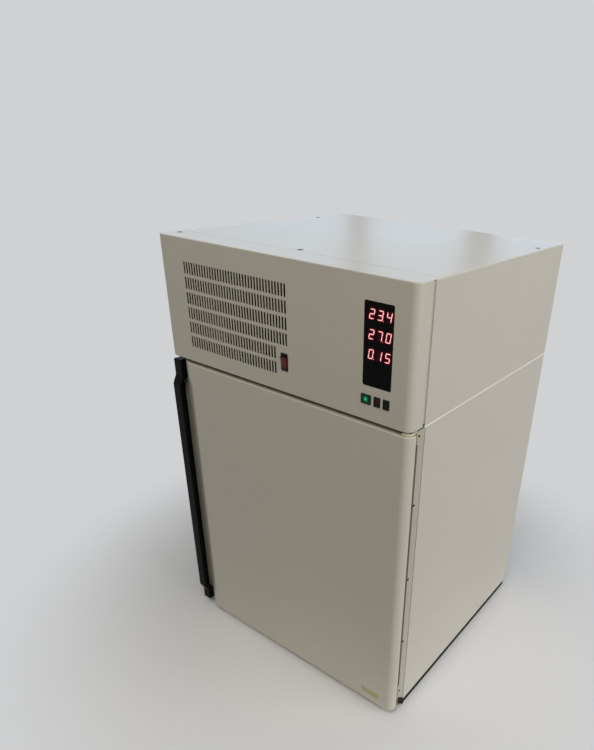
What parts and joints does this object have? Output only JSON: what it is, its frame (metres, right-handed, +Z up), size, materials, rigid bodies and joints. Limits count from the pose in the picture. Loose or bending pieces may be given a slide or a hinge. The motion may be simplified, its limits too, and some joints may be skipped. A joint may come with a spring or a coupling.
{
  "type": "automated plate incubator",
  "caption": "Bench-top incubator cabinet with a hinged insulated door, a vented control hood, a plate carousel, a lift with a turning shovel, and a rear plate gate.",
  "frame": {"origin": "on the underside of the base, under the middle of the cabinet", "axes": "+Z up, -Y out of the door, +X to the right of someone facing the door"},
  "size_m": [0.59, 0.6888, 0.907],
  "materials": {
    "paint": "semi-gloss light grey powder coat",
    "black_paint": "satin black paint",
    "black_plastic": "satin black moulding",
    "handle_plastic": "satin black moulding, lightly worn",
    "grey_plastic": "matte grey moulding",
    "cream": "satin cream moulding",
    "foam": "closed-cell insulating foam",
    "gasket": "soft black seal",
    "stainless": "brushed",
    "aluminium": "clear anodised",
    "seam_aluminium": "bright edge",
    "steel": "ground and polished",
    "board": "green solder resist",
    "window": "polished dark filter",
    "green_button": "lit translucent cap",
    "dark_red_button": "translucent cap",
    "red_rocker": "translucent rocker"
  },
  "bodies": {
    "cabinet": {"base_plinth": "black_paint", "side_panel_left": "paint", "side_panel_right": "paint", "back_panel": "paint", "front_frame": "paint", "cabinet_insulation": "foam", "inner_chamber": "stainless", "deck_plate": "seam_aluminium", "hood_front_cover": "paint", "hood_shell": "paint", "hood_front_frame": "black_paint", "hood_back_panel": "paint", "mains_inlet": "black_plastic", "display_window": "window", "button_block": "black_plastic", "display_board": "board", "rocker_bezel": "black_plastic", "heat_exchanger": "aluminium", "cooling_fan_housing": "black_plastic", "power_supply": "aluminium", "control_board": "board", "chamber_fan_housing": "black_plastic", "hinge_bracket_top": "cream", "hinge_bracket_bottom": "cream", "hinge_pin_top": "steel", "hinge_pin_bottom": "steel", "carousel_motor": "black_plastic", "lift_column": "aluminium", "guide_rod_front": "steel", "guide_rod_back": "steel", "lift_motor": "black_plastic", "gate_housing": "paint", "gate_motor": "black_plastic", "transfer_station": "aluminium", "water_tray": "stainless"},
    "door": {"door_shell": "paint", "door_liner": "stainless", "door_insulation": "foam", "door_gasket": "gasket", "door_handle": "handle_plastic"},
    "carousel": {"turntable": "aluminium", "carousel_core": "aluminium", "stacker_1": "stainless", "stacker_2": "stainless", "stacker_3": "stainless", "stacker_4": "stainless"},
    "lift_carriage": {"lift_carriage": "aluminium", "turret_motor": "black_plastic"},
    "lift_screw": {"lift_screw": "steel"},
    "turret": {"turret": "aluminium"},
    "mid_slide": {"mid_slide": "steel"},
    "shovel": {"shovel": "aluminium"},
    "gate_door": {"gate_door": "aluminium"},
    "cooling_fan_rotor": {"cooling_fan_rotor": "grey_plastic"},
    "chamber_fan_rotor": {"chamber_fan_rotor": "grey_plastic"},
    "rocker_paddle": {"rocker_paddle": "red_rocker"},
    "green_button": {"green_button": "green_button"},
    "dark_red_button": {"dark_red_button": "dark_red_button"},
    "black_button": {"black_button": "black_plastic"}
  },
  "joints": [
    {"name": "door_hinge", "type": "hinge", "parent": "cabinet", "child": "door", "pos_m": [0.287, -0.2655, 0.339], "axis": [0, 0, 1], "range_deg": [0, 115]},
    {"name": "carousel_spin", "type": "hinge", "parent": "cabinet", "child": "carousel", "pos_m": [-0.07764, -0.04414, 0.062], "axis": [0, 0, 1], "continuous": true},
    {"name": "lift", "type": "slide", "parent": "cabinet", "child": "lift_carriage", "axis": [0, 0, 1], "range_m": [0, 0.45]},
    {"name": "lift_screw_spin", "type": "hinge", "parent": "cabinet", "child": "lift_screw", "pos_m": [0.2097, 0.03745, 0.35], "axis": [0, 0, 1], "range_deg": [0, 3240]},
    {"name": "turret_turn", "type": "hinge", "parent": "lift_carriage", "child": "turret", "pos_m": [0.16272, 0.14622, 0.0706], "axis": [0, 0, -1], "range_deg": [0, 128.38]},
    {"name": "mid_extend", "type": "slide", "parent": "turret", "child": "mid_slide", "axis": [-0.7839, -0.6209, 0], "range_m": [0, 0.09752]},
    {"name": "shovel_extend", "type": "slide", "parent": "mid_slide", "child": "shovel", "axis": [-0.7839, -0.6209, 0], "range_m": [0, 0.09752]},
    {"name": "gate_lift", "type": "slide", "parent": "cabinet", "child": "gate_door", "axis": [0, 0, 1], "range_m": [0, 0.07]},
    {"name": "cooling_fan_spin", "type": "hinge", "parent": "cabinet", "child": "cooling_fan_rotor", "pos_m": [-0.095, -0.1582, 0.751], "axis": [0, 1, 0], "continuous": true},
    {"name": "chamber_fan_spin", "type": "hinge", "parent": "cabinet", "child": "chamber_fan_rotor", "pos_m": [-0.07764, -0.04414, 0.611], "axis": [0, 0, 1], "continuous": true},
    {"name": "rocker_switch", "type": "hinge", "parent": "cabinet", "child": "rocker_paddle", "pos_m": [0.025, -0.275, 0.7286], "axis": [-1, 0, 0], "range_deg": [0, 14]},
    {"name": "green_button_press", "type": "slide", "parent": "cabinet", "child": "green_button", "axis": [0, 1, 0], "range_m": [0, 0.002], "stiffness_N_per_m": 400},
    {"name": "dark_red_button_press", "type": "slide", "parent": "cabinet", "child": "dark_red_button", "axis": [0, 1, 0], "range_m": [0, 0.002], "stiffness_N_per_m": 400},
    {"name": "black_button_press", "type": "slide", "parent": "cabinet", "child": "black_button", "axis": [0, 1, 0], "range_m": [0, 0.002], "stiffness_N_per_m": 400}
  ],
  "couplings": [
    {"joint": "lift_screw_spin", "follows": "lift", "rad_per_m": 125.66},
    {"joint": "mid_extend", "follows": "shovel_extend", "ratio": 1}
  ]
}
